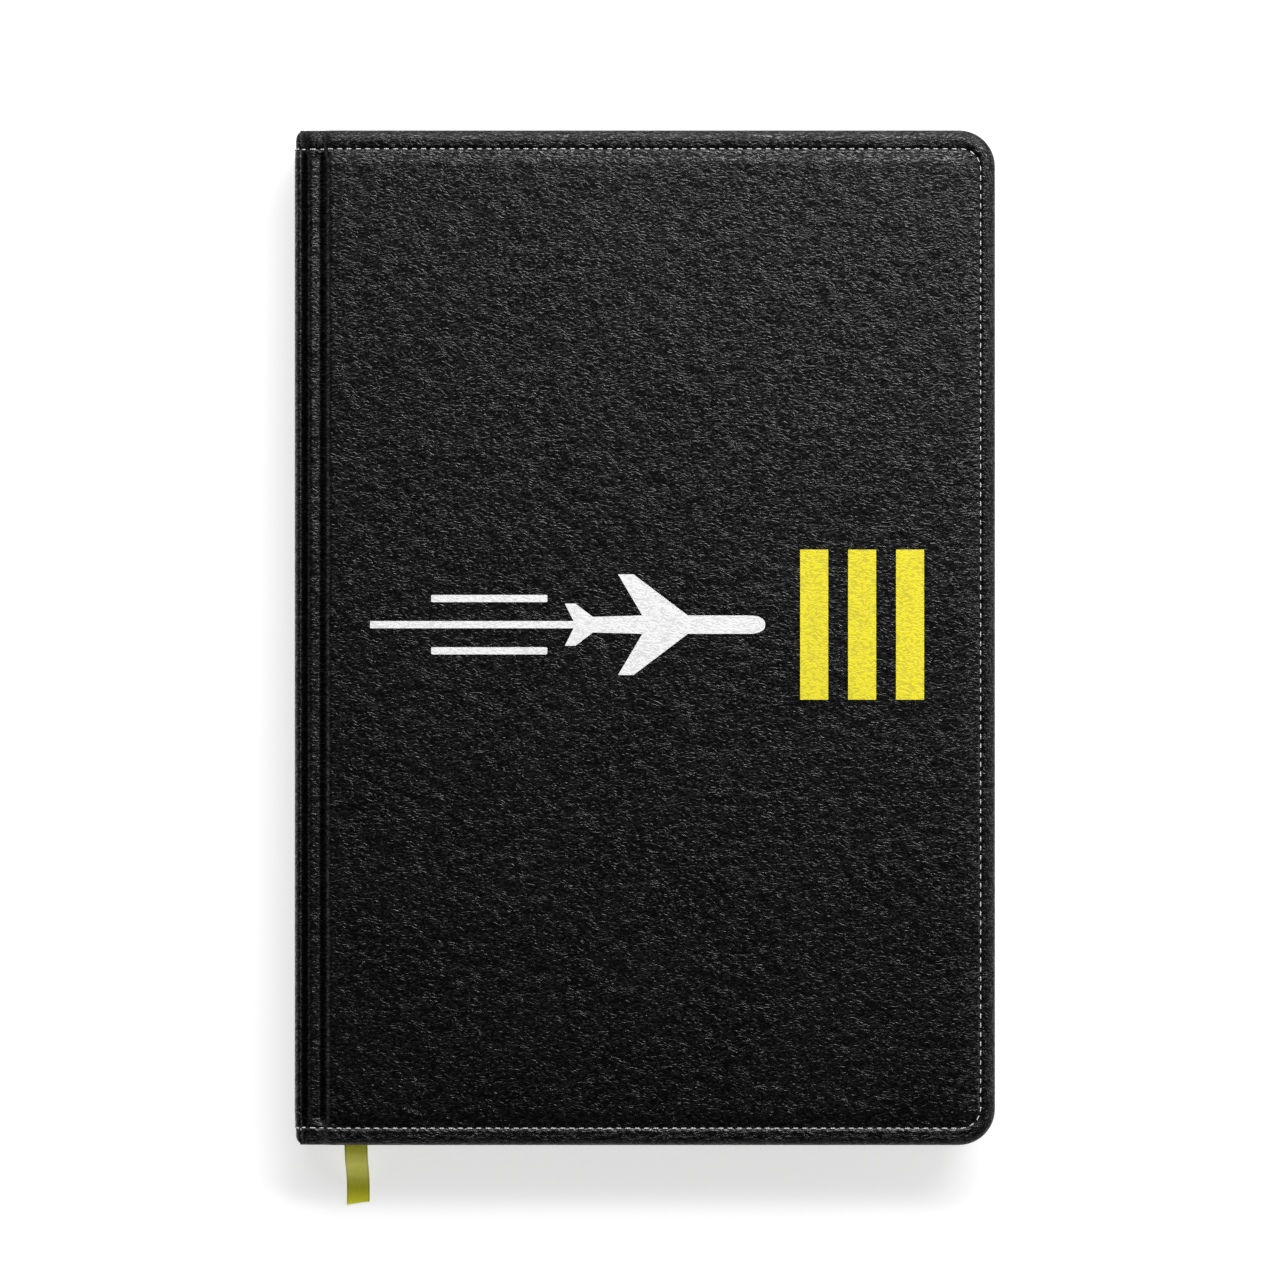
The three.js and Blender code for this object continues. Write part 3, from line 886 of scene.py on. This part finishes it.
def makeStitchTree():
    tree = bpy.data.node_groups.new("stitchesAlongSeam", "GeometryNodeTree")
    tree.interface.new_socket("Geometry", in_out="INPUT", socket_type="NodeSocketGeometry")
    tree.interface.new_socket("Geometry", in_out="OUTPUT", socket_type="NodeSocketGeometry")
    for label in ("Pitch", "Length", "Width", "Height"):
        tree.interface.new_socket(label, in_out="INPUT", socket_type="NodeSocketFloat")
    tree.interface.new_socket("Thread", in_out="INPUT", socket_type="NodeSocketMaterial")
    start, end = tree.nodes.new("NodeGroupInput"), tree.nodes.new("NodeGroupOutput")
    spaced = node(tree, "GeometryNodeCurveToPoints", mode="LENGTH")
    link(tree, start.outputs["Geometry"], spaced.inputs["Curve"])
    link(tree, start.outputs["Pitch"], spaced.inputs["Length"])
    rod = tree.nodes.new("GeometryNodeMeshCylinder")
    rod.inputs["Vertices"].default_value = stitch["sides"]
    rod.inputs["Side Segments"].default_value = stitch["rings"]
    rod.inputs["Radius"].default_value = 0.5
    rod.inputs["Depth"].default_value = 1.0
    place = tree.nodes.new("GeometryNodeInputPosition")
    x, y, z = separate(tree, place.outputs[0])
    far = maths(tree, "ABSOLUTE", maths(tree, "MULTIPLY", z, 2.0))
    slim = maths(tree, "SQRT", maths(tree, "SUBTRACT", 1.02, maths(tree, "POWER", far, stitch["square"])))
    shaped = node(tree, "ShaderNodeCombineXYZ")
    link(tree, maths(tree, "MULTIPLY", x, slim), shaped.inputs[0])
    link(tree, maths(tree, "MULTIPLY", y, slim), shaped.inputs[1])
    link(tree, z, shaped.inputs[2])
    rounded = tree.nodes.new("GeometryNodeSetPosition")
    link(tree, rod.outputs["Mesh"], rounded.inputs["Geometry"])
    link(tree, shaped.outputs[0], rounded.inputs["Position"])
    size = node(tree, "ShaderNodeCombineXYZ")
    link(tree, start.outputs["Height"], size.inputs[0])
    link(tree, start.outputs["Width"], size.inputs[1])
    link(tree, start.outputs["Length"], size.inputs[2])
    copies = tree.nodes.new("GeometryNodeInstanceOnPoints")
    link(tree, spaced.outputs["Points"], copies.inputs["Points"])
    link(tree, rounded.outputs[0], copies.inputs["Instance"])
    link(tree, spaced.outputs["Rotation"], copies.inputs["Rotation"])
    link(tree, size.outputs[0], copies.inputs["Scale"])
    real = tree.nodes.new("GeometryNodeRealizeInstances")
    link(tree, copies.outputs[0], real.inputs[0])
    coloured = tree.nodes.new("GeometryNodeSetMaterial")
    link(tree, real.outputs[0], coloured.inputs["Geometry"])
    link(tree, start.outputs["Thread"], coloured.inputs["Material"])
    link(tree, coloured.outputs[0], end.inputs[0])
    return tree


stitchTree = makeStitchTree()


def makeStitches(name, points):
    curve = bpy.data.curves.new(name + "Line", "CURVE")
    curve.dimensions = "3D"
    line = curve.splines.new("POLY")
    line.points.add(len(points) - 1)
    for spot, point in zip(line.points, points):
        spot.co = ((point[0] + book["left"]) * mm, point[1] * mm, point[2] * mm, 1)
    guide = bpy.data.objects.new(name + "Line", curve)
    bpy.context.collection.objects.link(guide)
    modifier = guide.modifiers.new("stitches", "NODES")
    values = {"Pitch": skin["stitchPitch"] * mm, "Length": stitch["length"] * mm,
              "Width": stitch["width"] * mm, "Height": stitch["height"] * mm, "Thread": threadLook}
    modifier.node_group = stitchTree
    for item in stitchTree.interface.items_tree:
        if item.in_out == "INPUT" and item.name in values:
            modifier[item.identifier] = values[item.name]
    evaluated = guide.evaluated_get(bpy.context.evaluated_depsgraph_get())
    mesh = bpy.data.meshes.new_from_object(evaluated)
    mesh.name = name
    bpy.data.objects.remove(guide)
    thing = bpy.data.objects.new(name, mesh)
    bpy.context.collection.objects.link(thing)
    for polygon in mesh.polygons:
        polygon.use_smooth = True
    return thing


def seamHeight(x):
    return book["top"] - topDrop(x, skin["seam"], 0) + stitch["lift"]


def seamRow(side):
    return side * (book["head"] - skin["seam"] - skin["headShift" if side > 0 else "footShift"])


def coverSeam(front):
    # The stitches' line round the cover, from the joint at the foot to the joint at the head.
    inset = skin["seam"] + skin["foreShift"]
    first = seamPhase + 1.4 * skin["stitchPitch"]
    right = book["right"] - book["left"] - inset
    head, foot = seamRow(1), seamRow(-1)
    radius = skin["outerRadius"] - skin["seam"]
    points = []
    for x in np.arange(first, skin["jointEnd"], 0.2):
        points.append((x, foot, seamHeight(x)))
    flat = seamHeight(pastJoint)
    points.append((right - radius, foot, flat))
    turns = [math.pi / 2 * k / skin["cornerSteps"] for k in range(skin["cornerSteps"] + 1)]
    for a in turns[1:]:
        points.append((right - radius + radius * math.sin(a), foot + radius - radius * math.cos(a), flat))
    for a in turns:
        points.append((right - radius + radius * math.cos(a), head - radius + radius * math.sin(a), flat))
    for x in np.arange(skin["jointEnd"], first, -0.2):
        points.append((x, head, seamHeight(x)))
    return [(x, y, z if front else book["top"] - z) for x, y, z in points]


def spineSeam(side, front):
    # From half the spine's height over the roll to the ridge.
    points = []
    y = seamRow(side)
    depth = sideDrop(skin["seam"], 0) - stitch["lift"]
    for x, z in (pair[:2] for pair in reversed(spineOutline())):
        if z is None:
            points.append((x, y, book["top"] - topDrop(x, skin["seam"], 0) + stitch["lift"]))
        else:
            way = inward(sideShare(x))
            points.append((x + way[0] * depth, y, z + way[1] * depth))
    points = [p for p in points if p[0] < seamPhase + 1.35 * skin["stitchPitch"]]
    return [(x, y, z if front else book["top"] - z) for x, y, z in points]


def joinThings(name, things):
    bm = bmesh.new()
    for thing in things:
        bm.from_mesh(thing.data)
    mesh = bpy.data.meshes.new(name)
    bm.to_mesh(mesh)
    bm.free()
    for material in things[0].data.materials:
        mesh.materials.append(material)
    for polygon in mesh.polygons:
        polygon.use_smooth = True
    for thing in things:
        bpy.data.objects.remove(thing)
    joined = bpy.data.objects.new(name, mesh)
    bpy.context.collection.objects.link(joined)
    return joined


frontStitches = makeStitches("frontSeamStitches", coverSeam(True))
backStitches = makeStitches("backSeamStitches", coverSeam(False))
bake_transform(frontStitches)
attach(backStitches, "back_cover")
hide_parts("front_thread")
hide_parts("back_thread")
upperStitches = joinThings("spineUpperStitches", [makeStitches("upperFoot", spineSeam(-1, True)),
                                                  makeStitches("upperHead", spineSeam(1, True))])
lowerStitches = joinThings("spineLowerStitches", [makeStitches("lowerFoot", spineSeam(-1, False)),
                                                  makeStitches("lowerHead", spineSeam(1, False))])
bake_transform(upperStitches)
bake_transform(lowerStitches)
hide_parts("spine_thread_head", "spine_thread_foot")
print("seams stitched")

leaves = {"sheets": 8, "paper": 0.085, "wander": 0.06, "foldSteps": 5, "cornerRadius": 3.0, "cornerSteps": 5}


def leafOutline(x0, x1):
    # A leaf's plan from the fold: square at the spine, its two fore-edge corners rounded.
    radius, steps = leaves["cornerRadius"], leaves["cornerSteps"]
    points = [(x0, book["leafFoot"])]
    for k in range(steps + 1):
        a = -math.pi / 2 + math.pi / 2 * k / steps
        points.append((x1 - radius + radius * math.cos(a), book["leafFoot"] + radius + radius * math.sin(a)))
    for k in range(steps + 1):
        a = math.pi / 2 * k / steps
        points.append((x1 - radius + radius * math.cos(a), book["leafHead"] - radius + radius * math.sin(a)))
    points.append((x0, book["leafHead"]))
    return points


def addSheet(bm, zLow, zHigh, foldX, wander):
    # One folded sheet: two leaves and the fold that joins them, as one closed strip.
    radius = (zHigh - zLow) / 2
    inner = max(0.0, radius - leaves["paper"])
    mid = (zLow + zHigh) / 2
    rim = leafOutline(foldX + radius, book["leafRight"] + wander)
    for z0, z1 in ((zLow, zLow + leaves["paper"]), (zHigh - leaves["paper"], zHigh)):
        low = [bm.verts.new((x * mm, y * mm, z0 * mm)) for x, y in rim]
        high = [bm.verts.new((x * mm, y * mm, z1 * mm)) for x, y in rim]
        bm.faces.new(low)
        bm.faces.new(high)
        for k in range(len(rim)):
            n = (k + 1) % len(rim)
            bm.faces.new((low[k], low[n], high[n], high[k]))
    steps = leaves["foldSteps"]
    rings = []
    for y in (book["leafFoot"], book["leafHead"]):
        ring = []
        for k in range(steps + 1):
            a = math.pi / 2 + math.pi * k / steps
            ring.append(bm.verts.new(((foldX + radius + radius * math.cos(a)) * mm, y * mm,
                                      (mid + radius * math.sin(a)) * mm)))
        for k in range(steps, -1, -1):
            a = math.pi / 2 + math.pi * k / steps
            ring.append(bm.verts.new(((foldX + radius + inner * math.cos(a)) * mm, y * mm,
                                      (mid + inner * math.sin(a)) * mm)))
        rings.append(ring)
        bm.faces.new(ring)
    for k in range(len(rings[0])):
        n = (k + 1) % len(rings[0])
        bm.faces.new((rings[0][k], rings[0][n], rings[1][n], rings[1][k]))


def makeSection(index):
    low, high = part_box("section_%d" % index)
    zLow, zHigh = low[2] / mm, high[2] / mm
    pitch = (zHigh - zLow) / (2 * leaves["sheets"])
    bm = bmesh.new()
    for k in range(leaves["sheets"]):
        wander = random.uniform(-1, 0.4) * leaves["wander"]
        foldX = book["leafLeft"] + k * pitch
        addSheet(bm, zLow + k * pitch, zHigh - k * pitch, foldX, wander)
    thing = newObject("leavesOfSection%d" % index, bm, shade=False)
    paint(thing, paperLook)
    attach(thing, "leaves_%d" % index)
    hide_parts("section_%d" % index)


for index in range(1, 7):
    makeSection(index)
print("leaves gathered")

endpaperPlan = {"inset": 3.0, "radius": 4.6, "thickness": 0.10, "hingeStart": 3.9}


def makePastedown(name, front):
    bm = bmesh.new()
    inset, radius = endpaperPlan["inset"], endpaperPlan["radius"]
    right = book["right"] - inset
    head = book["head"] - inset
    face = book["inner"] - 0.03
    xs = list(np.arange(endpaperPlan["hingeStart"], 8.5, 0.3))
    plan = [(x + book["left"], -head) for x in xs]
    for k in range(9):
        a = -math.pi / 2 + math.pi / 2 * k / 8
        plan.append((right - radius + radius * math.cos(a), -head + radius + radius * math.sin(a)))
    for k in range(9):
        a = math.pi / 2 * k / 8
        plan.append((right - radius + radius * math.cos(a), head - radius + radius * math.sin(a)))
    plan += [(x + book["left"], head) for x in reversed(xs)]
    count, total = len(xs), len(plan)
    sides = []
    for z in (face, face + endpaperPlan["thickness"]):
        z = z if front else book["top"] - z
        ring = [bm.verts.new((x * mm, y * mm, z * mm)) for x, y in plan]
        for k in range(count - 1):
            bm.faces.new((ring[k], ring[k + 1], ring[total - k - 2], ring[total - k - 1]))
        bm.faces.new(ring[count - 1:total - count + 1])
        sides.append(ring)
    for k in range(total):
        n = (k + 1) % total
        bm.faces.new((sides[0][k], sides[0][n], sides[1][n], sides[1][k]))
    thing = newObject(name, bm, shade=False)
    paint(thing, endpaperLook)
    return thing


frontPastedown = makePastedown("frontPastedown", True)
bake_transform(frontPastedown)
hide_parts("front_lining")
backPastedown = makePastedown("backPastedown", False)
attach(backPastedown, "back_cover")
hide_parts("back_lining")
print("endpapers pasted")

band = {"radius": 0.55, "wrapPitch": 0.45, "wrapDepth": 0.05, "sides": 12}


def makeBand(name, cadNode):
    low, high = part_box(cadNode)
    cx, cy = (low[0] + high[0]) / 2 / mm, (low[1] + high[1]) / 2 / mm
    z0, z1 = low[2] / mm, high[2] / mm
    rings = int((z1 - z0) / band["wrapPitch"] * 6)
    bm = bmesh.new()
    previous = None
    for k in range(rings + 1):
        z = z0 + (z1 - z0) * k / rings
        wave = abs(math.sin(math.pi * (z - z0) / band["wrapPitch"]))
        taper = min(1.0, 0.55 + 3 * min(k, rings - k) / rings * 4)
        radius = (band["radius"] - band["wrapDepth"] * (1 - wave)) * taper
        ring = []
        for s in range(band["sides"]):
            a = 2 * math.pi * s / band["sides"]
            x, y = cx + radius * math.cos(a), cy + radius * math.sin(a)
            ring.append(bm.verts.new((x * mm, y * mm, z * mm)))
        if previous:
            for s in range(band["sides"]):
                n = (s + 1) % band["sides"]
                bm.faces.new((previous[s], previous[n], ring[n], ring[s]))
        else:
            bm.faces.new(ring)
        previous = ring
    bm.faces.new(previous)
    thing = newObject(name, bm)
    paint(thing, bandLook)
    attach(thing, "spine")
    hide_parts(cadNode)


makeBand("headBandRoll", "head_band")
makeBand("tailBandRoll", "tail_band")


# The floor gives a little light of its own, so shadows stay pale.
floorPlan = {"size": 3, "colour": 0.37, "glow": 0.65, "farGlow": 1.0, "near": 0.4, "far": 1.3}


def addFloor():
    look, tree, surface, where = startMaterial("paleFloor")
    reach = node(tree, "ShaderNodeVectorMath", operation="LENGTH")
    link(tree, where, reach.inputs[0])
    glow = remap(tree, reach.outputs["Value"], floorPlan["near"], floorPlan["far"],
                 floorPlan["glow"], floorPlan["farGlow"])
    link(tree, glow, surface.inputs["Emission Strength"])
    surface.inputs["Emission Color"].default_value = (1, 1, 1, 1)
    surface.inputs["Base Color"].default_value = (floorPlan["colour"],) * 3 + (1,)
    surface.inputs["Roughness"].default_value = 0.9
    surface.inputs["Specular IOR Level"].default_value = 0.1
    bm = bmesh.new()
    bmesh.ops.create_grid(bm, x_segments=1, y_segments=1, size=floorPlan["size"])
    floor = newObject("floor", bm)
    floor.data.materials.append(look)


addFloor()

lamps = {
    "strip": {"place": (0.40, 0.80, 1.08), "size": (0.9, 0.24), "power": 18.5},
    "head": {"place": (0.10, 1.02, 0.98), "size": (1.4, 0.55), "power": 17},
    "right": {"place": (1.15, 0.25, 0.66), "size": (1.2, 0.6), "power": 5},
    "left": {"place": (-1.30, 0.20, 0.50), "size": (1.2, 0.5), "power": 1.5},
}


def addLamp(name, place, size, power):
    data = bpy.data.lights.new(name, "AREA")
    data.shape = "RECTANGLE"
    data.size, data.size_y = size
    data.energy = power
    lamp = bpy.data.objects.new(name, data)
    lamp.location = place
    lamp.rotation_euler = (-Vector(place)).to_track_quat("-Z", "Y").to_euler()
    bpy.context.collection.objects.link(lamp)


for name, settings in lamps.items():
    addLamp(name, **settings)

# The room is bright round the table and dark straight above it, as under a row of softboxes.
studio = {"low": 0.35, "high": 0.0, "from": 0.45, "to": 0.75, "horizon": 1.0, "glow": 0.10, "glowEnd": 0.22}


def addStudio():
    world = bpy.data.worlds.new("studio")
    world.use_nodes = True
    sky = world.node_tree
    rise = separate(sky, node(sky, "ShaderNodeTexCoord").outputs["Generated"])[2]
    strength = remap(sky, rise, studio["from"], studio["to"], studio["low"], studio["high"])
    glow = remap(sky, rise, studio["glow"], studio["glowEnd"], studio["horizon"] - studio["low"], 0.0)
    link(sky, maths(sky, "ADD", strength, glow), sky.nodes["Background"].inputs["Strength"])
    sky.nodes["Background"].inputs[0].default_value = (1, 1, 1, 1)
    bpy.context.scene.world = world
    bpy.context.scene.view_settings.view_transform = "Standard"


addStudio()
print("studio lit")
